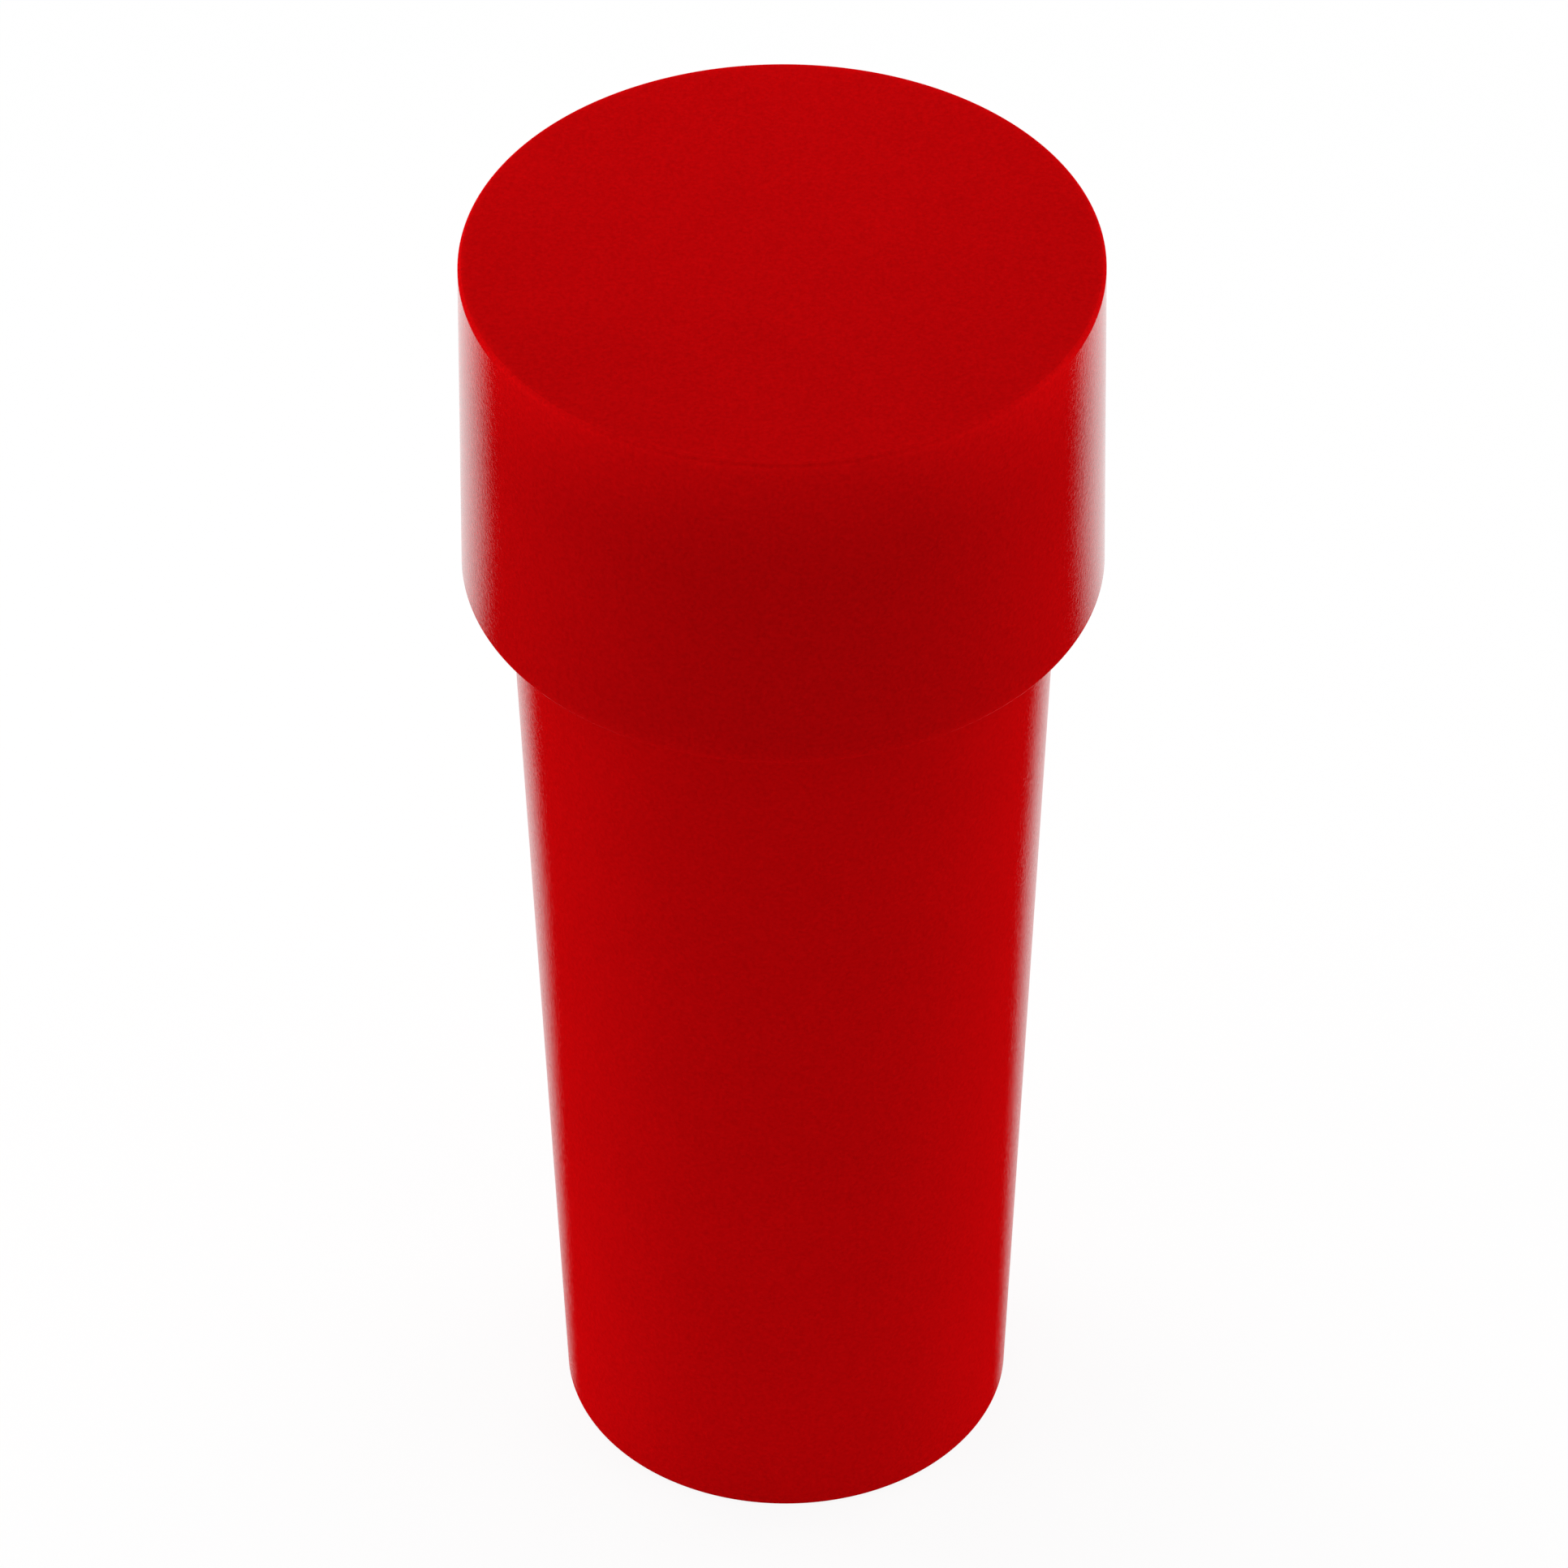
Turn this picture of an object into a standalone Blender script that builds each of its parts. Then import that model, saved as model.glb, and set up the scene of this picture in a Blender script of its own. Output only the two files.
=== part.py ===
"""Hand post driver: a cap that goes over the top end of a fence post and is struck with a hammer.

It comes apart as a moulded head that snaps onto a moulded shank, with a steel anvil and a steel tube inside.
Every piece is turned about Z. The mouth of the socket stands on Z = 0 and the struck face is on top.
Sizes are in metres.
"""

import math

import bmesh
import bpy
from mathutils import Matrix, Vector

# Head that takes the blows
HEAD_DIAMETER = 0.0510
HEAD_HEIGHT = 0.0300
HEAD_ROOF = 0.0125
HEAD_DRAFT = math.radians(0.6)
HEAD_TOP_EDGE = 0.0004
HEAD_BORE_LEAD_IN = 0.0010

# Tapered shank, which is also the hand grip
SHANK_LENGTH = 0.0890
SHANK_TOP_DIAMETER = 0.0442
SHANK_END_DIAMETER = 0.0372
SHANK_END_EDGE = 0.0005
BASE_RING_WIDTH = 0.0039
MOUTH_LEAD_IN = 0.0036
LIP_HEIGHT = 0.0060
LIP_STEP = 0.0006

# Spigot on top of the shank, with the bead that the head snaps over
SHOULDER_WIDTH = 0.0031
SPIGOT_WALL = 0.0037
SPIGOT_TOP_EDGE = 0.0008
BEAD_RISE = 0.0006
BEAD_HEIGHT = 0.0070
BEAD_CATCH = 0.0006
BEAD_LAND = 0.0008
BEAD_RAMP = 0.0020

# Steel tube that lines the socket, and the thickest post that it takes
POST_DIAMETER = 0.0190
POST_CLEARANCE = 0.0005
LINER_WALL = 0.0020
LINER_CHAMFER = 0.0005

# Steel anvil that the top end of the post bears on
ANVIL_FLANGE = 0.0077
ANVIL_STEM = 0.0105
ANVIL_CHAMFER = 0.0008

# Gap between pieces that fit together
FIT_GAP = 0.0003

# Fineness of the turned shapes
TURN_STEPS = 60
ARC_STEPS = 4
MERGE_DISTANCE = 0.00001
SHARP_ANGLE = math.radians(30)

# Linear colours
RED = (0.39, 0.0010, 0.0015)
BRIGHT_STEEL = (0.60, 0.60, 0.58)
BARE_STEEL = (0.55, 0.55, 0.55)

# Radii that follow from the sizes above
HEAD_TOP_RADIUS = HEAD_DIAMETER / 2
HEAD_RIM_RADIUS = HEAD_TOP_RADIUS + HEAD_HEIGHT * math.tan(HEAD_DRAFT)
SHANK_TOP_RADIUS = SHANK_TOP_DIAMETER / 2
SHANK_END_RADIUS = SHANK_END_DIAMETER / 2
SPIGOT_RADIUS = SHANK_TOP_RADIUS - SHOULDER_WIDTH
POCKET_RADIUS = SPIGOT_RADIUS - SPIGOT_WALL
LINER_INNER_RADIUS = POST_DIAMETER / 2 + POST_CLEARANCE
LINER_OUTER_RADIUS = LINER_INNER_RADIUS + LINER_WALL

# Heights above the mouth that follow from the sizes above
SHOULDER_TOP = SHANK_LENGTH - FIT_GAP
SPIGOT_TOP = SHANK_LENGTH + HEAD_HEIGHT - HEAD_ROOF - FIT_GAP
FLANGE_SEAT = SPIGOT_TOP - ANVIL_FLANGE
POCKET_FLOOR = FLANGE_SEAT - FIT_GAP
STOP_FACE = FLANGE_SEAT - ANVIL_STEM
LINER_FOOT = LIP_HEIGHT + FIT_GAP


def plain_material(name, colour, roughness, metallic):
    """One even surface."""
    material = bpy.data.materials.new(name)
    material.use_nodes = True
    shader = material.node_tree.nodes["Principled BSDF"]
    shader.inputs["Base Color"].default_value = (*colour, 1.0)
    shader.inputs["Roughness"].default_value = roughness
    shader.inputs["Metallic"].default_value = metallic
    return material


def rounded_corner(before, corner, after, radius):
    """Points of the arc that rounds one corner of an outline."""
    back = (before - corner).normalized()
    ahead = (after - corner).normalized()
    half_angle = back.angle(ahead) / 2
    centre = corner + (back + ahead).normalized() * radius / math.sin(half_angle)
    spoke = corner + back * radius / math.tan(half_angle) - centre
    sweep = math.copysign(math.pi - 2 * half_angle, ahead.cross(back))
    turns = [sweep * step / ARC_STEPS for step in range(ARC_STEPS + 1)]
    return [centre + Matrix.Rotation(turn, 2) @ spoke for turn in turns]


def outline_points(corners):
    """Points of an outline. A corner is (radius, height), with a third value where its edge is rounded."""
    places = [Vector(corner[:2]) for corner in corners]
    points = []
    for index, corner in enumerate(corners):
        if len(corner) == 3:
            after = places[(index + 1) % len(places)]
            points += rounded_corner(places[index - 1], places[index], after, corner[2])
        else:
            points.append(places[index])
    return points


def turned_piece(name, corners, base_height, material, parent):
    """A solid turned about Z. Its outline starts and ends on the axis, or closes on itself as a tube."""
    shape = bmesh.new()
    profile = [shape.verts.new((point.x, 0.0, point.y)) for point in outline_points(corners)]
    edges = [shape.edges.new(pair) for pair in zip(profile, profile[1:])]
    if corners[0][0] > 0.0:
        edges.append(shape.edges.new((profile[-1], profile[0])))
    turn = {"cent": (0.0, 0.0, 0.0), "axis": (0.0, 0.0, 1.0), "angle": math.tau, "steps": TURN_STEPS}
    bmesh.ops.spin(shape, geom=profile + edges, **turn)
    bmesh.ops.remove_doubles(shape, verts=shape.verts, dist=MERGE_DISTANCE)
    bmesh.ops.recalc_face_normals(shape, faces=shape.faces)
    mesh = bpy.data.meshes.new(name)
    shape.to_mesh(mesh)
    shape.free()
    mesh.shade_smooth()
    mesh.set_sharp_from_angle(angle=SHARP_ANGLE)
    mesh.materials.append(material)
    piece = bpy.data.objects.new(name, mesh)
    piece.parent = parent
    piece.location.z = base_height
    bpy.context.scene.collection.objects.link(piece)


def add_shank_sleeve(material, parent):
    """Moulded grip. Its spigot carries the head and holds the anvil, and its bore holds the liner."""
    bead_radius = SPIGOT_RADIUS + BEAD_RISE
    bead_bottom = SHANK_LENGTH + BEAD_HEIGHT
    bead_top = bead_bottom + BEAD_LAND
    mouth_radius = SHANK_END_RADIUS - SHANK_END_EDGE - BASE_RING_WIDTH
    lip_radius = LINER_INNER_RADIUS + LIP_STEP
    liner_bore = LINER_OUTER_RADIUS + FIT_GAP
    corners = [
        (POCKET_RADIUS, SPIGOT_TOP),
        (SPIGOT_RADIUS, SPIGOT_TOP, SPIGOT_TOP_EDGE),
        (SPIGOT_RADIUS, bead_top + BEAD_RAMP),
        (bead_radius, bead_top),
        (bead_radius, bead_bottom),
        (SPIGOT_RADIUS, bead_bottom - BEAD_CATCH),
        (SPIGOT_RADIUS, SHOULDER_TOP),
        (SHANK_TOP_RADIUS, SHOULDER_TOP),
        (SHANK_END_RADIUS, 0.0, SHANK_END_EDGE),
        (mouth_radius, 0.0),
        (lip_radius, MOUTH_LEAD_IN),
        (lip_radius, LIP_HEIGHT),
        (liner_bore, LIP_HEIGHT),
        (liner_bore, POCKET_FLOOR),
        (POCKET_RADIUS, POCKET_FLOOR),
    ]
    turned_piece("shank_sleeve", corners, 0.0, material, parent)


def add_socket_liner(material, parent):
    """Cut length of tube that stands on the lip in the mouth and ends under the anvil's flange."""
    length = POCKET_FLOOR - LINER_FOOT
    corners = [
        (LINER_INNER_RADIUS + LINER_CHAMFER, length),
        (LINER_OUTER_RADIUS - LINER_CHAMFER, length),
        (LINER_OUTER_RADIUS, length - LINER_CHAMFER),
        (LINER_OUTER_RADIUS, LINER_CHAMFER),
        (LINER_OUTER_RADIUS - LINER_CHAMFER, 0.0),
        (LINER_INNER_RADIUS + LINER_CHAMFER, 0.0),
        (LINER_INNER_RADIUS, LINER_CHAMFER),
        (LINER_INNER_RADIUS, length - LINER_CHAMFER),
    ]
    turned_piece("socket_liner", corners, LINER_FOOT, material, parent)


def add_steel_anvil(material, parent):
    """Turned slug. Its flange lies in the spigot's pocket, and its stem closes the top of the liner."""
    flange_radius = POCKET_RADIUS - FIT_GAP
    stem_radius = LINER_INNER_RADIUS - FIT_GAP
    top = ANVIL_STEM + ANVIL_FLANGE
    corners = [
        (0.0, top),
        (flange_radius - ANVIL_CHAMFER, top),
        (flange_radius, top - ANVIL_CHAMFER),
        (flange_radius, ANVIL_STEM),
        (stem_radius, ANVIL_STEM),
        (stem_radius, ANVIL_CHAMFER),
        (stem_radius - ANVIL_CHAMFER, 0.0),
        (0.0, 0.0),
    ]
    turned_piece("steel_anvil", corners, STOP_FACE, material, parent)


def add_driving_head(material, parent):
    """Moulded cap over the spigot. A groove in its bore takes the spigot's bead."""
    bore = SPIGOT_RADIUS + FIT_GAP
    groove_radius = bore + BEAD_RISE
    groove_bottom = BEAD_HEIGHT - FIT_GAP
    groove_top = BEAD_HEIGHT + BEAD_LAND + FIT_GAP
    bore_top = HEAD_HEIGHT - HEAD_ROOF
    corners = [
        (0.0, HEAD_HEIGHT),
        (HEAD_TOP_RADIUS, HEAD_HEIGHT, HEAD_TOP_EDGE),
        (HEAD_RIM_RADIUS, 0.0),
        (bore + HEAD_BORE_LEAD_IN, 0.0),
        (bore, HEAD_BORE_LEAD_IN),
        (bore, groove_bottom - BEAD_CATCH),
        (groove_radius, groove_bottom),
        (groove_radius, groove_top),
        (bore, groove_top + BEAD_RAMP),
        (bore, bore_top),
        (0.0, bore_top),
    ]
    turned_piece("driving_head", corners, SHANK_LENGTH, material, parent)


def main():
    for leftover in list(bpy.data.objects):
        bpy.data.objects.remove(leftover)
    driver = bpy.data.objects.new("post_driver", None)
    bpy.context.scene.collection.objects.link(driver)
    shank_red = plain_material("shank_red_plastic", colour=RED, roughness=0.32, metallic=0.0)
    head_red = plain_material("head_red_plastic", colour=RED, roughness=0.30, metallic=0.0)
    tube_steel = plain_material("bright_steel_tube", colour=BRIGHT_STEEL, roughness=0.32, metallic=1.0)
    turned_steel = plain_material("turned_steel", colour=BARE_STEEL, roughness=0.25, metallic=1.0)
    add_shank_sleeve(shank_red, driver)
    add_socket_liner(tube_steel, driver)
    add_steel_anvil(turned_steel, driver)
    add_driving_head(head_red, driver)


main()
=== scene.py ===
import math

import bmesh
import bpy
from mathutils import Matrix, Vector


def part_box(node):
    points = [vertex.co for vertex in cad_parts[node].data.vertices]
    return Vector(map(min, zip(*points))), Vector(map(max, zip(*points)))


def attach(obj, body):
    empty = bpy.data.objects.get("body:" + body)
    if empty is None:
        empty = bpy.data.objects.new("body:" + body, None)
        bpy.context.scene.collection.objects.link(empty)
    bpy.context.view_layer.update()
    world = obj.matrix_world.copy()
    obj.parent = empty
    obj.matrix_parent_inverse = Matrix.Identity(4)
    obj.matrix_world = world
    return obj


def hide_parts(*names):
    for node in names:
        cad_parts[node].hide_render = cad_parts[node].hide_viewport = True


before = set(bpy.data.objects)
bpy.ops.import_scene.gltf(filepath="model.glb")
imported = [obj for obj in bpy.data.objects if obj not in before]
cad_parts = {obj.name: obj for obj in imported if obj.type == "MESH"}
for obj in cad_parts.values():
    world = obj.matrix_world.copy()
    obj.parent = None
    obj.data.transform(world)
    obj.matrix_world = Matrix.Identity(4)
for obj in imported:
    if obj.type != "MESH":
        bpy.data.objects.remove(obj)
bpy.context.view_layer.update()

# Shank sleeve
# The tapered hand grip, injection-moulded in red polypropylene with a heavy wall. Its spigot goes up into
# the head and snaps in there by a bead, and the post comes up from below, through the lead-in of the mouth.

MM = 0.001
FIT_GAP = 0.1 * MM

shank_low, shank_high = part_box("shank_sleeve")
head_low, head_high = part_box("driving_head")
liner_low, liner_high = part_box("socket_liner")
anvil_low, anvil_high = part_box("steel_anvil")

HEAD_SEAT = head_low.z
SHANK_TOP_RADIUS = shank_high.x
SHANK_END_RADIUS = 18.6 * MM
SHANK_END_EDGE = 0.5 * MM
SHOULDER_EDGE = 0.3 * MM
SHOULDER_WIDTH = 3.1 * MM
SPIGOT_RADIUS = SHANK_TOP_RADIUS - SHOULDER_WIDTH
SPIGOT_TOP_EDGE = 0.8 * MM
POCKET_RADIUS = anvil_high.x + FIT_GAP
POCKET_FLOOR = liner_high.z + FIT_GAP
BEAD_RISE = 0.6 * MM
BEAD_HEIGHT = 7.0 * MM
BEAD_CATCH = 0.6 * MM
BEAD_LAND = 0.8 * MM
BEAD_RAMP = 2.0 * MM
BEAD_EDGE = 0.2 * MM
LINER_BORE_RADIUS = liner_high.x + FIT_GAP
LIP_RADIUS = 10.6 * MM
LIP_TOP = liner_low.z - FIT_GAP
MOUTH_RADIUS = 14.2 * MM
MOUTH_LEAD_IN = 3.6 * MM
MOUTH_EDGE = 0.4 * MM

# Fineness of the turned skins, and the radius of the circle that guides the turning
TURN_STEPS = 256
ARC_STEPS = 10
GUIDE_RADIUS = 10.0 * MM
MERGE_DISTANCE = 0.002 * MM
SHARP_ANGLE = math.radians(35)
# A holding point stands this far from a round, so that the face beside it stays flat.
HOLD = 0.3 * MM
# An edge of this radius or more counts as fully rubbed, and carries the full painted highlight.
RUBBED_AND_HIGHLIT_EDGE = 0.4 * MM


def linear(hex_colour):
    """Linear colour of an sRGB hex value, by the curve that the sRGB standard gives."""
    parts = [int(hex_colour[i : i + 2], 16) / 255 for i in (1, 3, 5)]
    return [p / 12.92 if p <= 0.04045 else ((p + 0.055) / 1.055) ** 2.4 for p in parts] + [1.0]


def add_node(tree, kind, inputs=None, **settings):
    """Adds a node with its settings, and sets or links its inputs by name or number."""
    node = tree.nodes.new(kind)
    for name, value in settings.items():
        setattr(node, name, value)
    for name, value in (inputs or {}).items():
        if isinstance(value, bpy.types.NodeSocket):
            tree.links.new(value, node.inputs[name])
        else:
            node.inputs[name].default_value = value
    return node


def make_turning_tree():
    """Rounds the corners of an outline in the XZ plane, and turns it about Z into a skin."""
    tree = bpy.data.node_groups.new("turn_outline", "GeometryNodeTree")
    named_inputs = (
        ("Outline", "NodeSocketGeometry"),
        ("Turn steps", "NodeSocketInt"),
        ("Arc steps", "NodeSocketInt"),
        ("Guide radius", "NodeSocketFloat"),
        ("Merge distance", "NodeSocketFloat"),
        ("Material", "NodeSocketMaterial"),
    )
    for name, kind in named_inputs:
        tree.interface.new_socket(name, in_out="INPUT", socket_type=kind)
    tree.interface.new_socket("Skin", in_out="OUTPUT", socket_type="NodeSocketGeometry")
    sizes = add_node(tree, "NodeGroupInput").outputs
    edge = add_node(tree, "GeometryNodeInputNamedAttribute", {"Name": "edge_radius"}, data_type="FLOAT")
    line = add_node(tree, "GeometryNodeMeshToCurve", {"Mesh": sizes["Outline"]})
    rounding = {
        "Curve": line.outputs["Curve"],
        "Count": sizes["Arc steps"],
        "Radius": edge.outputs["Attribute"],
        "Limit Radius": True,
    }
    rounded = add_node(tree, "GeometryNodeFilletCurve", rounding, mode="POLY")
    # The sweep lays the outline's X along the circle's radius and its Y downwards, so the outline is tipped
    # over and drawn in by the radius of the circle that guides it.
    inward = add_node(tree, "ShaderNodeMath", {0: sizes["Guide radius"], 1: -1.0}, operation="MULTIPLY")
    shift = add_node(tree, "ShaderNodeCombineXYZ", {"X": inward.outputs[0]})
    tipping = {
        "Geometry": rounded.outputs["Curve"],
        "Translation": shift.outputs[0],
        "Rotation": (math.pi / 2, 0.0, 0.0),
    }
    tipped = add_node(tree, "GeometryNodeTransform", tipping)
    circle = {"Resolution": sizes["Turn steps"], "Radius": sizes["Guide radius"]}
    guide = add_node(tree, "GeometryNodeCurvePrimitiveCircle", circle, mode="RADIUS")
    sweep = {"Curve": guide.outputs["Curve"], "Profile Curve": tipped.outputs["Geometry"]}
    swept = add_node(tree, "GeometryNodeCurveToMesh", sweep)
    closing = {"Geometry": swept.outputs["Mesh"], "Distance": sizes["Merge distance"]}
    closed = add_node(tree, "GeometryNodeMergeByDistance", closing)
    real = add_node(tree, "GeometryNodeRealizeInstances", {"Geometry": closed.outputs["Geometry"]})
    finish = {"Geometry": real.outputs["Geometry"], "Material": sizes["Material"]}
    finished = add_node(tree, "GeometryNodeSetMaterial", finish)
    add_node(tree, "NodeGroupOutput", {"Skin": finished.outputs["Geometry"]})
    return tree


turning_tree = make_turning_tree()


def outline_mesh(name, corners):
    """A line through corners of (radius, height, edge radius), held by a point on each side of a round."""
    points = []
    rounds = []
    for index, (radius, height, edge) in enumerate(corners):
        corner = Vector((radius, 0.0, height))
        points.append(corner)
        rounds.append(edge)
        if edge == 0.0:
            continue
        before = Vector((corners[index - 1][0], 0.0, corners[index - 1][1]))
        next_corner = corners[(index + 1) % len(corners)]
        after = Vector((next_corner[0], 0.0, next_corner[1]))
        back = (before - corner).normalized()
        ahead = (after - corner).normalized()
        setback = edge / math.tan(back.angle(ahead) / 2) + HOLD
        points[-1:] = [corner + back * setback, corner, corner + ahead * setback]
        rounds[-1:] = [0.0, edge, 0.0]
    edges = [(i, i + 1) for i in range(len(points) - 1)]
    # An outline that starts on the axis stays open there, and any other one is a closed ring.
    if corners[0][0] > 0.0:
        edges.append((len(points) - 1, 0))
    mesh = bpy.data.meshes.new(name)
    mesh.from_pydata(points, edges, [])
    mesh.attributes.new("edge_radius", "FLOAT", "POINT").data.foreach_set("value", rounds)
    return mesh


def turned_piece(name, corners, material):
    """A smooth solid turned about Z, as a plain mesh at the origin."""
    piece = bpy.data.objects.new(name, outline_mesh(name + "_outline", corners))
    bpy.context.scene.collection.objects.link(piece)
    turning = piece.modifiers.new("turning", "NODES")
    turning.node_group = turning_tree
    sizes = {
        "Turn steps": TURN_STEPS,
        "Arc steps": ARC_STEPS,
        "Guide radius": GUIDE_RADIUS,
        "Merge distance": MERGE_DISTANCE,
        "Material": material,
    }
    for socket in turning_tree.interface.items_tree:
        if socket.name in sizes:
            turning[socket.identifier] = sizes[socket.name]
    evaluated = piece.evaluated_get(bpy.context.evaluated_depsgraph_get())
    mesh = bpy.data.meshes.new_from_object(evaluated)
    piece.modifiers.clear()
    skin = bmesh.new()
    skin.from_mesh(mesh)
    bmesh.ops.remove_doubles(skin, verts=skin.verts, dist=MERGE_DISTANCE)
    bmesh.ops.recalc_face_normals(skin, faces=skin.faces)
    skin.to_mesh(mesh)
    skin.free()
    mesh.shade_smooth()
    mesh.set_sharp_from_angle(angle=SHARP_ANGLE)
    piece.data = mesh
    mesh.name = name
    return piece


def painted_light_tone(tree, height, painted_band, edge_rub_and_highlight, end_face):
    """The painted light and shade on the red, as a factor that is 1 where the red is left as moulded."""
    # One end is painted paler as painted light, the rounded edges get a painted highlight, and the flat end
    # face gets painted shade.
    painted_power = 2.0
    edge_highlight_gain = 1.05
    end_shade_gain = 0.86
    painted_from, painted_to, painted_gain = painted_band
    # The painted light sets in slowly and is strongest at the end of its band.
    painted_range = {"Value": height, "From Min": painted_from, "From Max": painted_to}
    painted_ramp = add_node(tree, "ShaderNodeMapRange", painted_range).outputs[0]
    painted_share = add_node(tree, "ShaderNodeMath", {0: painted_ramp, 1: painted_power}, operation="POWER").outputs[0]
    # The rounded edges are painted paler still, a painted highlight, and the flat face at that end a little
    # darker, a painted shade.
    tone = 1.0
    for share, gain in ((painted_share, painted_gain), (edge_rub_and_highlight, edge_highlight_gain), (end_face, end_shade_gain)):
        change = {0: share, 1: gain - 1.0, 2: 1.0}
        factor = add_node(tree, "ShaderNodeMath", change, operation="MULTIPLY_ADD").outputs[0]
        tone = add_node(tree, "ShaderNodeMath", {0: tone, 1: factor}, operation="MULTIPLY").outputs[0]
    return tone


def glancing_gloss(tree, gloss, refraction, bump):
    """A specular level that comes in with the glancing angle, from nothing at the front."""
    gloss_loss = 0.154
    gloss_gain = 1.7
    gloss_power = 3.0
    full_level = 0.5
    fresnel = add_node(tree, "ShaderNodeFresnel", {"IOR": refraction, "Normal": bump}).outputs[0]
    lost = add_node(tree, "ShaderNodeMath", {0: gloss_loss, 1: fresnel}, operation="DIVIDE").outputs[0]
    kept = add_node(tree, "ShaderNodeMath", {0: gloss, 1: lost}, operation="SUBTRACT").outputs[0]
    gain = {0: kept, 1: gloss_gain}
    share = add_node(tree, "ShaderNodeMath", gain, operation="MULTIPLY", use_clamp=True).outputs[0]
    onset = add_node(tree, "ShaderNodeMath", {0: share, 1: gloss_power}, operation="POWER").outputs[0]
    return add_node(tree, "ShaderNodeMath", {0: onset, 1: full_level}, operation="MULTIPLY").outputs[0]


# Sockets of a Mix node for colours. They go by number, because their names occur more than once on it.
MIX_FACTOR = 0
MIX_FIRST = 6
MIX_SECOND = 7
MIX_RESULT = 2


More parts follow.
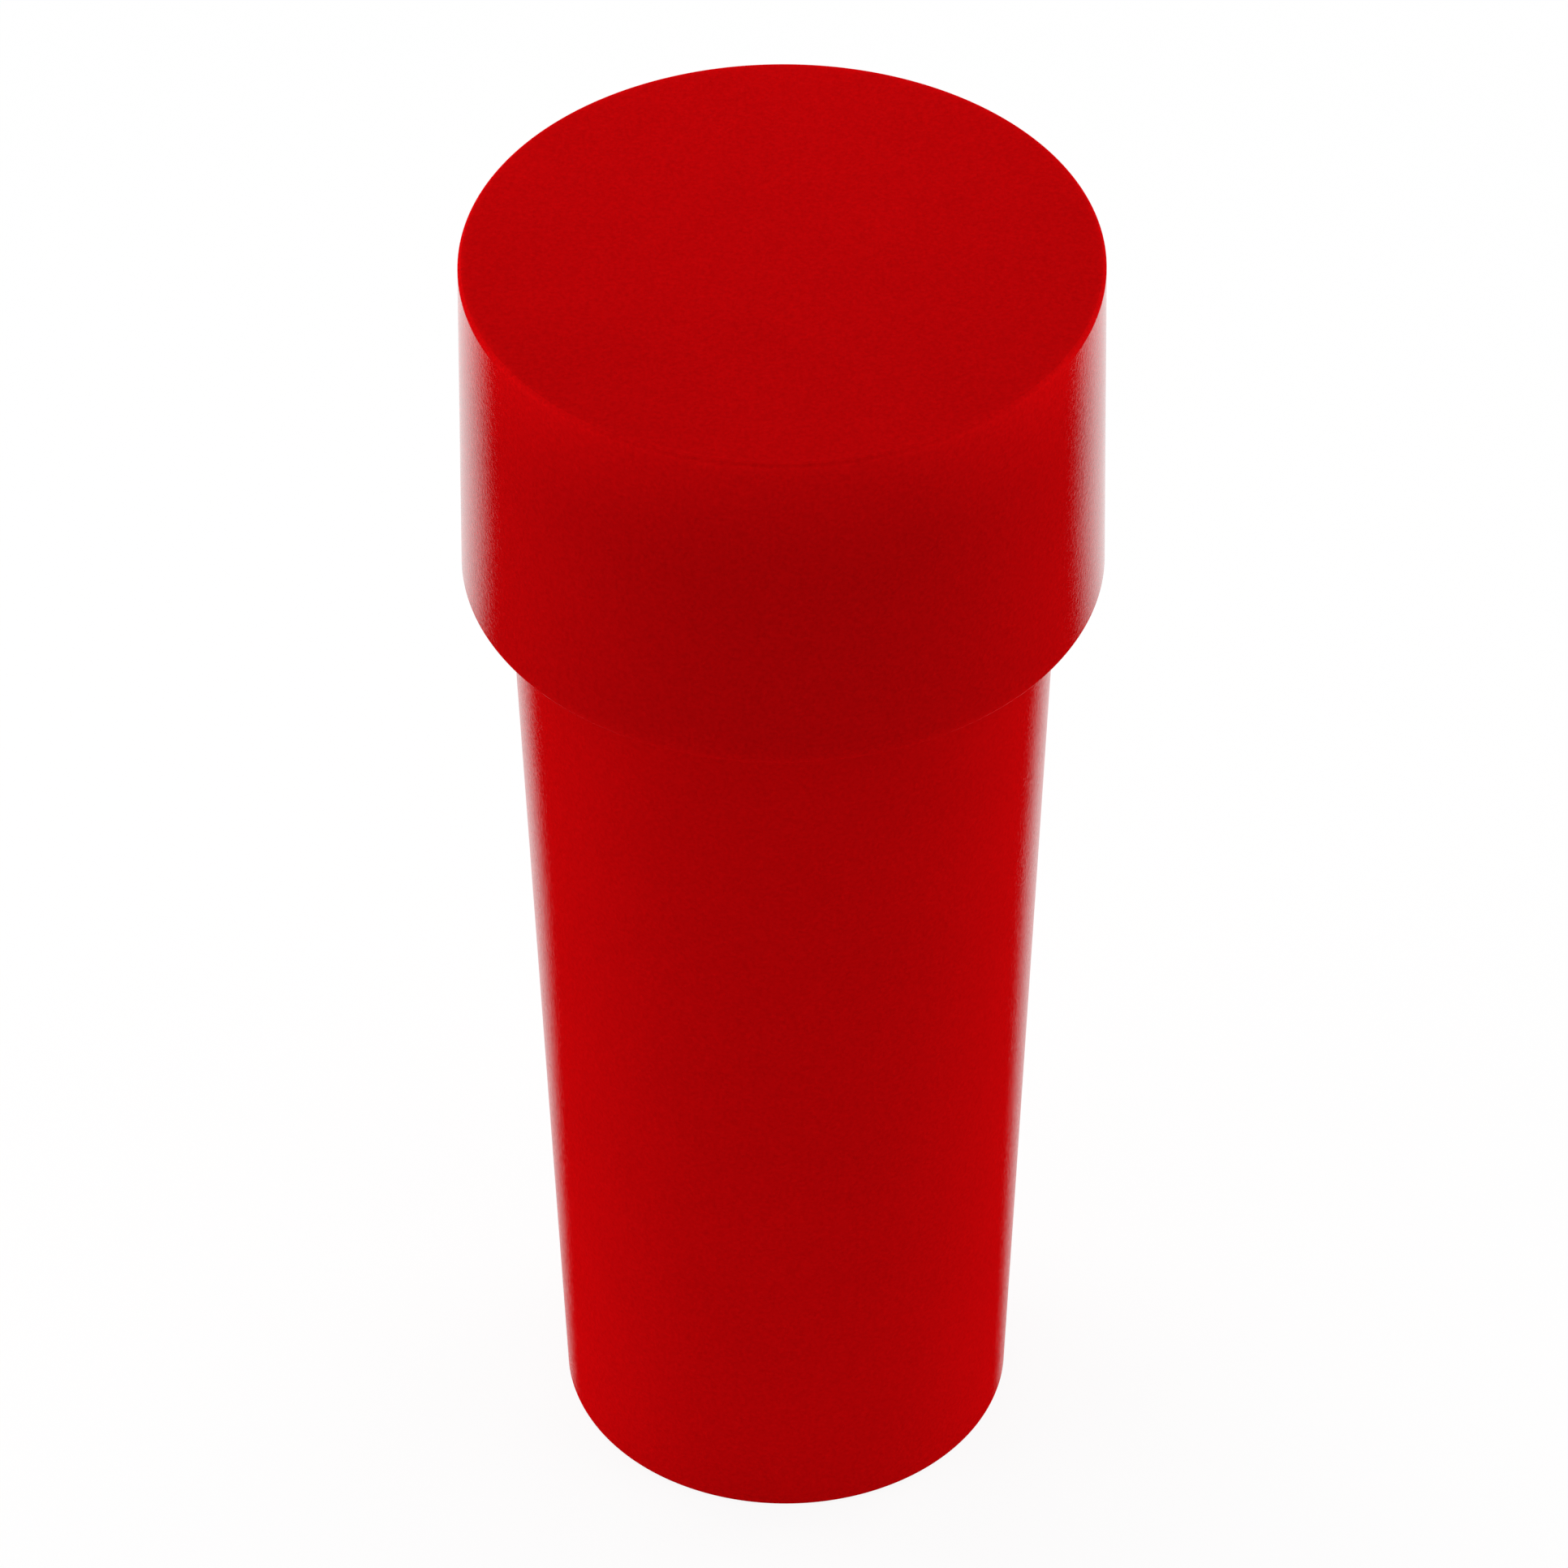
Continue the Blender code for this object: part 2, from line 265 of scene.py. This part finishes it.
def red_polypropylene(name, reds, painted_band, polish):
    """Polypropylene copolymer, injection-moulded in a finely blasted tool. The eye gets a deep even red that
    looks matt from the front and turns pale and glossy only where it is seen at a glancing angle. The melt
    left faint clouds in the colour, and the tool left a fine grain. One end is painted paler as painted
    light, the rounded edges carry a painted highlight, and the gloss changes along the piece."""
    refraction = 1.49
    glow_share = 0.12
    glow_depth = 4.0 * MM
    glow_reach = (1.0, 0.05, 0.05)
    cloud_size = 8.0 * MM
    cloud_detail = 3.0
    # The real grain is about 0.05 mm. It is drawn six times as coarse, so that it shows.
    grain_size = 0.3 * MM
    grain_detail = 2.0
    grain_depth = 0.018 * MM
    grain_share = 0.85
    grain_gloss = 0.3
    end_depth = 0.02 * MM
    end_loss = 0.32
    dull_gloss = 0.4
    dull_roughness = 0.24
    full_gloss = 1.0
    full_roughness = 0.08
    cloud_roughness = 0.06
    dark_red, pale_red = (linear(red) for red in reds)
    painted_to = painted_band[1]
    (low_height, low_polish), (high_height, high_polish) = polish
    material = bpy.data.materials.new(name)
    material.use_nodes = True
    tree = material.node_tree
    shader = tree.nodes["Principled BSDF"]
    shader.inputs["IOR"].default_value = refraction
    shader.inputs["Subsurface Weight"].default_value = glow_share
    shader.inputs["Subsurface Radius"].default_value = glow_reach
    shader.inputs["Subsurface Scale"].default_value = glow_depth
    place = add_node(tree, "ShaderNodeTexCoord").outputs["Object"]
    height = add_node(tree, "ShaderNodeSeparateXYZ", {0: place}).outputs["Z"]
    clouds = {"Vector": place, "Scale": 1 / cloud_size, "Detail": cloud_detail}
    cloud = add_node(tree, "ShaderNodeTexNoise", clouds).outputs["Fac"]
    grains = {"Vector": place, "Scale": 1 / grain_size, "Detail": grain_detail}
    grain = add_node(tree, "ShaderNodeTexNoise", grains).outputs["Fac"]
    cloud_reds = {MIX_FACTOR: cloud, MIX_FIRST: dark_red, MIX_SECOND: pale_red}
    clouded = add_node(tree, "ShaderNodeMix", cloud_reds, data_type="RGBA").outputs[MIX_RESULT]
    grain_reds = {MIX_FACTOR: grain, MIX_FIRST: dark_red, MIX_SECOND: pale_red}
    grained = add_node(tree, "ShaderNodeMix", grain_reds, data_type="RGBA").outputs[MIX_RESULT]
    both_reds = {MIX_FACTOR: grain_share, MIX_FIRST: clouded, MIX_SECOND: grained}
    moulded = add_node(tree, "ShaderNodeMix", both_reds, data_type="RGBA").outputs[MIX_RESULT]
    # Rounded edges are knocked, and the flat face at the end of the piece is scuffed. Both have lost gloss.
    # The edge mask also carries a painted highlight, and the end-face mask a painted shade.
    round_edge = add_node(tree, "ShaderNodeAttribute", attribute_name="edge_radius").outputs["Fac"]
    edge_range = {"Value": round_edge, "From Max": RUBBED_AND_HIGHLIT_EDGE}
    edge_rub_and_highlight = add_node(tree, "ShaderNodeMapRange", edge_range).outputs[0]
    end_range = {0: height, 1: painted_to, 2: end_depth}
    end_face = add_node(tree, "ShaderNodeMath", end_range, operation="COMPARE").outputs[0]
    scuff = add_node(tree, "ShaderNodeMath", {0: end_face, 1: end_loss}, operation="MULTIPLY").outputs[0]
    rub = add_node(tree, "ShaderNodeMath", {0: edge_rub_and_highlight, 1: scuff}, operation="MAXIMUM").outputs[0]
    tone = painted_light_tone(tree, height, painted_band, edge_rub_and_highlight, end_face)
    colour = add_node(tree, "ShaderNodeVectorMath", {0: moulded, "Scale": tone}, operation="SCALE")
    tree.links.new(colour.outputs[0], shader.inputs["Base Color"])
    polish_range = {
        "Value": height,
        "From Min": low_height,
        "From Max": high_height,
        "To Min": low_polish,
        "To Max": high_polish,
    }
    even_gloss = add_node(tree, "ShaderNodeMapRange", polish_range).outputs[0]
    pitting = {0: grain, 1: grain_gloss, 2: even_gloss}
    as_moulded = add_node(tree, "ShaderNodeMath", pitting, operation="MULTIPLY_ADD").outputs[0]
    gloss = add_node(tree, "ShaderNodeMath", {0: as_moulded, 1: rub}, operation="SUBTRACT").outputs[0]
    roughness_range = {
        "Value": gloss,
        "From Min": dull_gloss,
        "From Max": full_gloss,
        "To Min": dull_roughness,
        "To Max": full_roughness,
    }
    plain = add_node(tree, "ShaderNodeMapRange", roughness_range).outputs[0]
    patchy = {0: cloud, 1: cloud_roughness, 2: plain}
    roughness = add_node(tree, "ShaderNodeMath", patchy, operation="MULTIPLY_ADD").outputs[0]
    tree.links.new(roughness, shader.inputs["Roughness"])
    bump = add_node(tree, "ShaderNodeBump", {"Height": grain, "Distance": grain_depth}).outputs["Normal"]
    tree.links.new(bump, shader.inputs["Normal"])
    level = glancing_gloss(tree, gloss, refraction, bump)
    tree.links.new(level, shader.inputs["Specular IOR Level"])
    return material


# The shank is painted paler towards the foot, a painted light for the light that the floor throws up on it,
# and its gloss is duller there. The paler band runs from one height to another, with its gain at the end.
# The polish goes from one (height, polish) to the other.
SHANK_REDS = ("#900204", "#B90507")
FOOT_PAINTED_LIGHT = (75.0 * MM, shank_low.z, 1.13)
GRIP_POLISH = ((5.0 * MM, 0.29), (60.0 * MM, 0.53))

shank_plastic = red_polypropylene("shank_polypropylene", SHANK_REDS, FOOT_PAINTED_LIGHT, GRIP_POLISH)
bead_bottom = HEAD_SEAT + BEAD_HEIGHT
bead_top = bead_bottom + BEAD_LAND
bead_radius = SPIGOT_RADIUS + BEAD_RISE
shank_corners = [
    (POCKET_RADIUS, shank_high.z, 0.0),
    (SPIGOT_RADIUS, shank_high.z, SPIGOT_TOP_EDGE),
    (SPIGOT_RADIUS, bead_top + BEAD_RAMP, 0.0),
    (bead_radius, bead_top, BEAD_EDGE),
    (bead_radius, bead_bottom, BEAD_EDGE),
    (SPIGOT_RADIUS, bead_bottom - BEAD_CATCH, 0.0),
    (SPIGOT_RADIUS, HEAD_SEAT - FIT_GAP, 0.0),
    (SHANK_TOP_RADIUS, HEAD_SEAT - FIT_GAP, SHOULDER_EDGE),
    (SHANK_END_RADIUS, shank_low.z, SHANK_END_EDGE),
    (MOUTH_RADIUS, shank_low.z, MOUTH_EDGE),
    (LIP_RADIUS, MOUTH_LEAD_IN, MOUTH_EDGE),
    (LIP_RADIUS, LIP_TOP, 0.0),
    (LINER_BORE_RADIUS, LIP_TOP, 0.0),
    (LINER_BORE_RADIUS, POCKET_FLOOR, 0.0),
    (POCKET_RADIUS, POCKET_FLOOR, 0.0),
]
shank = turned_piece("shank_sleeve_moulding", shank_corners, shank_plastic)
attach(shank, "root")
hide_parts("shank_sleeve")

# Socket liner
# A cut length of drawn steel tube, zinc-plated, pushed into the shank from above until it stands on the lip
# in the mouth. Both ends are deburred.

LINER_INNER_RADIUS = 10.0 * MM
LINER_CHAMFER = 0.5 * MM


def drawn_zinc_steel():
    """Cold-drawn steel tube with bright zinc plating. The eye gets a soft grey shine, streaked along the
    tube by the die that it was drawn through, with faint darker patches in the plating."""
    streak_width = 0.5 * MM
    streak_length = 60.0 * MM
    streak_depth = 0.01 * MM
    streak_detail = 4.0
    patch_size = 6.0 * MM
    patch_detail = 4.0
    dark_zinc = linear("#A9ACAF")
    pale_zinc = linear("#C9CBCC")
    smooth = 0.26
    rough = 0.46
    material = bpy.data.materials.new("drawn_zinc_steel")
    material.use_nodes = True
    tree = material.node_tree
    shader = tree.nodes["Principled BSDF"]
    shader.inputs["Metallic"].default_value = 1.0
    place = add_node(tree, "ShaderNodeTexCoord").outputs["Object"]
    stretch = {"Vector": place, "Scale": (1 / streak_width, 1 / streak_width, 1 / streak_length)}
    along = add_node(tree, "ShaderNodeMapping", stretch).outputs[0]
    streaks = {"Vector": along, "Scale": 1.0, "Detail": streak_detail}
    streak = add_node(tree, "ShaderNodeTexNoise", streaks)
    patches = {"Vector": place, "Scale": 1 / patch_size, "Detail": patch_detail}
    patch = add_node(tree, "ShaderNodeTexNoise", patches)
    greys = {MIX_FACTOR: patch.outputs["Fac"], MIX_FIRST: dark_zinc, MIX_SECOND: pale_zinc}
    colour = add_node(tree, "ShaderNodeMix", greys, data_type="RGBA")
    tree.links.new(colour.outputs[MIX_RESULT], shader.inputs["Base Color"])
    shine = {"Value": streak.outputs["Fac"], "To Min": smooth, "To Max": rough}
    tree.links.new(add_node(tree, "ShaderNodeMapRange", shine).outputs[0], shader.inputs["Roughness"])
    relief = {"Height": streak.outputs["Fac"], "Distance": streak_depth}
    tree.links.new(add_node(tree, "ShaderNodeBump", relief).outputs["Normal"], shader.inputs["Normal"])
    return material


liner_corners = [
    (LINER_INNER_RADIUS + LINER_CHAMFER, liner_high.z, 0.0),
    (liner_high.x - LINER_CHAMFER, liner_high.z, 0.0),
    (liner_high.x, liner_high.z - LINER_CHAMFER, 0.0),
    (liner_high.x, liner_low.z + LINER_CHAMFER, 0.0),
    (liner_high.x - LINER_CHAMFER, liner_low.z, 0.0),
    (LINER_INNER_RADIUS + LINER_CHAMFER, liner_low.z, 0.0),
    (LINER_INNER_RADIUS, liner_low.z + LINER_CHAMFER, 0.0),
    (LINER_INNER_RADIUS, liner_high.z - LINER_CHAMFER, 0.0),
]
liner = turned_piece("socket_liner_tube", liner_corners, drawn_zinc_steel())
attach(liner, "root")
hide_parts("socket_liner")

# Steel anvil
# A slug turned from bar. Its flange drops into the pocket of the spigot and its stem closes the top of the
# liner, so that the post bears on it and the blow goes through its flange into the head.

ANVIL_STEM_RADIUS = 9.7 * MM
ANVIL_STEM_LENGTH = 10.5 * MM
ANVIL_CHAMFER = 0.8 * MM


def turned_steel():
    """Bright steel bar, faced and turned on a lathe. The eye gets a grey shine broken into fine rings by the
    tool's feed, which fan the light out from the middle of a faced end."""
    # The real feed is about 0.1 mm a turn. It is drawn three times as coarse, so that it shows.
    feed = 0.3 * MM
    ring_depth = 0.008 * MM
    ring_wobble = 0.6
    ring_detail = 2.0
    ring_detail_scale = 0.5
    stain_size = 4.0 * MM
    stain_detail = 4.0
    dark_steel = linear("#8F8D8A")
    pale_steel = linear("#BAB8B4")
    smooth = 0.22
    rough = 0.38
    # Blender's ring wave has a period of 2 pi / 20 at scale 1.
    wave_period = math.tau / 20
    material = bpy.data.materials.new("turned_steel")
    material.use_nodes = True
    tree = material.node_tree
    shader = tree.nodes["Principled BSDF"]
    shader.inputs["Metallic"].default_value = 1.0
    place = add_node(tree, "ShaderNodeTexCoord").outputs["Object"]
    turns = {
        "Vector": place,
        "Scale": wave_period / feed,
        "Distortion": ring_wobble,
        "Detail": ring_detail,
        "Detail Scale": ring_detail_scale,
    }
    rings = add_node(tree, "ShaderNodeTexWave", turns, wave_type="RINGS", rings_direction="Z")
    stains = {"Vector": place, "Scale": 1 / stain_size, "Detail": stain_detail}
    stain = add_node(tree, "ShaderNodeTexNoise", stains)
    greys = {MIX_FACTOR: stain.outputs["Fac"], MIX_FIRST: dark_steel, MIX_SECOND: pale_steel}
    colour = add_node(tree, "ShaderNodeMix", greys, data_type="RGBA")
    tree.links.new(colour.outputs[MIX_RESULT], shader.inputs["Base Color"])
    shine = {"Value": stain.outputs["Fac"], "To Min": smooth, "To Max": rough}
    tree.links.new(add_node(tree, "ShaderNodeMapRange", shine).outputs[0], shader.inputs["Roughness"])
    relief = {"Height": rings.outputs["Fac"], "Distance": ring_depth}
    tree.links.new(add_node(tree, "ShaderNodeBump", relief).outputs["Normal"], shader.inputs["Normal"])
    return material


flange_seat = anvil_low.z + ANVIL_STEM_LENGTH
anvil_corners = [
    (0.0, anvil_high.z, 0.0),
    (anvil_high.x - ANVIL_CHAMFER, anvil_high.z, 0.0),
    (anvil_high.x, anvil_high.z - ANVIL_CHAMFER, 0.0),
    (anvil_high.x, flange_seat, 0.0),
    (ANVIL_STEM_RADIUS, flange_seat, 0.0),
    (ANVIL_STEM_RADIUS, anvil_low.z + ANVIL_CHAMFER, 0.0),
    (ANVIL_STEM_RADIUS - ANVIL_CHAMFER, anvil_low.z, 0.0),
    (0.0, anvil_low.z, 0.0),
]
anvil = turned_piece("steel_anvil_slug", anvil_corners, turned_steel())
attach(anvil, "root")
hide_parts("steel_anvil")

# Driving head
# The struck cap, moulded in the same red polypropylene. It is pushed over the spigot until the bead snaps
# into the groove in its bore, and its rim comes down on the shank's shoulder.

HEAD_TOP_RADIUS = 25.5 * MM
HEAD_RIM_RADIUS = head_high.x
HEAD_TOP_EDGE = 0.4 * MM
HEAD_RIM_EDGE = 0.1 * MM
HEAD_BORE_LEAD_IN = 1.0 * MM

bore_radius = SPIGOT_RADIUS + FIT_GAP
groove_radius = bore_radius + BEAD_RISE
groove_bottom = bead_bottom - FIT_GAP
groove_top = bead_top + FIT_GAP
head_roof = shank_high.z + FIT_GAP
head_corners = [
    (0.0, head_high.z, 0.0),
    (HEAD_TOP_RADIUS, head_high.z, HEAD_TOP_EDGE),
    (HEAD_RIM_RADIUS, HEAD_SEAT, HEAD_RIM_EDGE),
    (bore_radius + HEAD_BORE_LEAD_IN, HEAD_SEAT, 0.0),
    (bore_radius, HEAD_SEAT + HEAD_BORE_LEAD_IN, 0.0),
    (bore_radius, groove_bottom - BEAD_CATCH, 0.0),
    (groove_radius, groove_bottom, 0.0),
    (groove_radius, groove_top, 0.0),
    (bore_radius, groove_top + BEAD_RAMP, 0.0),
    (bore_radius, head_roof, 0.0),
    (0.0, head_roof, 0.0),
]
# The head's reds are a shade darker than the shank's, a painted shade on its side, and the head is painted
# paler towards its top, a painted light for the light that falls from above. Its gloss is lower towards the
# rim.
HEAD_REDS = ("#890204", "#B30507")
TOP_PAINTED_LIGHT = (head_high.z - 13.0 * MM, head_high.z, 1.32)
HEAD_POLISH = ((HEAD_SEAT, 0.72), (HEAD_SEAT + 11.0 * MM, 0.82))

head_plastic = red_polypropylene("head_polypropylene", HEAD_REDS, TOP_PAINTED_LIGHT, HEAD_POLISH)
head = turned_piece("driving_head_moulding", head_corners, head_plastic)
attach(head, "root")
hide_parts("driving_head")

# Floor
# A plain white studio table, wide enough to run out of every view. To the camera and in mirrors it is as
# white as the studio behind it, and it still takes the object's shadow.

FLOOR_HALF = 6.0
# Share of plain white that the camera sees close to the object, and the distances over which it rises to 1
FLOOR_WHITE = 0.9
FLOOR_FADE_FROM = 0.06
FLOOR_FADE_TO = 0.28


def seen_directly(tree):
    """A socket that is 1 for rays of the camera, of mirrors and through glass, and 0 for the light."""
    ray = add_node(tree, "ShaderNodeLightPath").outputs
    mirrors = {0: ray["Is Camera Ray"], 1: ray["Is Glossy Ray"]}
    either = add_node(tree, "ShaderNodeMath", mirrors, operation="MAXIMUM").outputs[0]
    glass = {0: either, 1: ray["Is Transmission Ray"]}
    return add_node(tree, "ShaderNodeMath", glass, operation="MAXIMUM").outputs[0]


def white_table():
    """White laminate table top. The eye gets plain white with a soft shadow under the object."""
    table_white = linear("#EEEEEE")
    table_roughness = 0.8
    material = bpy.data.materials.new("white_table")
    material.use_nodes = True
    material.cycles.emission_sampling = "NONE"
    tree = material.node_tree
    shader = tree.nodes["Principled BSDF"]
    shader.inputs["Base Color"].default_value = table_white
    shader.inputs["Roughness"].default_value = table_roughness
    shader.inputs["Specular IOR Level"].default_value = 0.0
    white = add_node(tree, "ShaderNodeEmission", {"Strength": 1.0})
    place = add_node(tree, "ShaderNodeTexCoord").outputs["Object"]
    reach = add_node(tree, "ShaderNodeVectorMath", {0: place}, operation="LENGTH").outputs["Value"]
    fade = {
        "Value": reach,
        "From Min": FLOOR_FADE_FROM,
        "From Max": FLOOR_FADE_TO,
        "To Min": FLOOR_WHITE,
        "To Max": 1.0,
    }
    whiteness = add_node(tree, "ShaderNodeMapRange", fade, interpolation_type="SMOOTHSTEP").outputs[0]
    share = {0: whiteness, 1: seen_directly(tree)}
    factor = add_node(tree, "ShaderNodeMath", share, operation="MULTIPLY").outputs[0]
    parts = {0: factor, 1: shader.outputs[0], 2: white.outputs[0]}
    surface = add_node(tree, "ShaderNodeMixShader", parts).outputs[0]
    tree.links.new(surface, tree.nodes["Material Output"].inputs["Surface"])
    return material


floor_mesh = bpy.data.meshes.new("floor")
floor_corners = [(x * FLOOR_HALF, y * FLOOR_HALF, 0.0) for x, y in ((-1, -1), (1, -1), (1, 1), (-1, 1))]
floor_mesh.from_pydata(floor_corners, [], [(0, 1, 2, 3)])
floor_mesh.materials.append(white_table())
floor = bpy.data.objects.new("floor", floor_mesh)
bpy.context.scene.collection.objects.link(floor)

# Studio light
# A white room that fills in from all round, and square soft boxes: two behind the sides, one overhead, one
# close behind the head and two low beside the front. Mirrors show the white room and not the boxes.

ROOM_FILL = 0.50
# Name, place, the height that it is aimed at, side of the square soft box, power in watts
LAMPS = (
    ("left_back_box", (-0.60, 0.40, 0.35), 60.0 * MM, 0.50, 2.55),
    ("right_back_box", (0.60, 0.40, 0.35), 60.0 * MM, 0.50, 2.55),
    ("overhead_box", (0.00, -0.30, 0.80), 60.0 * MM, 0.50, 0.20),
    ("close_back_box", (-0.03, 0.10, 0.24), 60.0 * MM, 0.14, 0.14),
    ("left_front_box", (-0.30, -0.12, 0.09), 30.0 * MM, 0.16, 0.41),
    ("right_front_box", (0.30, -0.12, 0.09), 30.0 * MM, 0.16, 0.37),
)

for name, place, aim_height, side, power in LAMPS:
    lamp = bpy.data.lights.new(name, "AREA")
    lamp.shape = "SQUARE"
    lamp.size = side
    lamp.energy = power
    soft_box = bpy.data.objects.new(name, lamp)
    soft_box.location = place
    aim = Vector((0.0, 0.0, aim_height)) - soft_box.location
    soft_box.rotation_euler = aim.to_track_quat("-Z", "Y").to_euler()
    soft_box.visible_camera = False
    soft_box.visible_glossy = False
    bpy.context.scene.collection.objects.link(soft_box)

world = bpy.data.worlds.new("white_room")
bpy.context.scene.world = world
world.use_nodes = True
world.cycles.sampling_method = "NONE"
world_tree = world.node_tree
room = world_tree.nodes["Background"]
room.inputs["Color"].default_value = linear("#FFFFFF")
room_levels = {0: seen_directly(world_tree), 1: 1.0 - ROOM_FILL, 2: ROOM_FILL}
room_level = add_node(world_tree, "ShaderNodeMath", room_levels, operation="MULTIPLY_ADD").outputs[0]
world_tree.links.new(room_level, room.inputs["Strength"])

# Camera
# A long lens in front of the object and above it, with a slight roll.

CAMERA_LENS = 255.8
CAMERA_SENSOR = 36.0
CAMERA_DISTANCE = 0.9107
CAMERA_ELEVATION = math.radians(40.97)
CAMERA_ROLL = math.radians(-0.22)
CAMERA_TARGET = Vector((0.0, 0.0, 64.42 * MM))

camera_data = bpy.data.cameras.new("camera")
camera_data.lens = CAMERA_LENS
camera_data.sensor_width = CAMERA_SENSOR
camera = bpy.data.objects.new("camera", camera_data)
bpy.context.scene.collection.objects.link(camera)
back = Vector((0.0, -math.cos(CAMERA_ELEVATION), math.sin(CAMERA_ELEVATION)))
camera.location = CAMERA_TARGET + back * CAMERA_DISTANCE
camera.rotation_euler = (math.pi / 2 - CAMERA_ELEVATION, 0.0, 0.0)
camera.rotation_euler.rotate_axis("Z", CAMERA_ROLL)
bpy.context.scene.camera = camera

bpy.context.scene.view_settings.view_transform = "Standard"
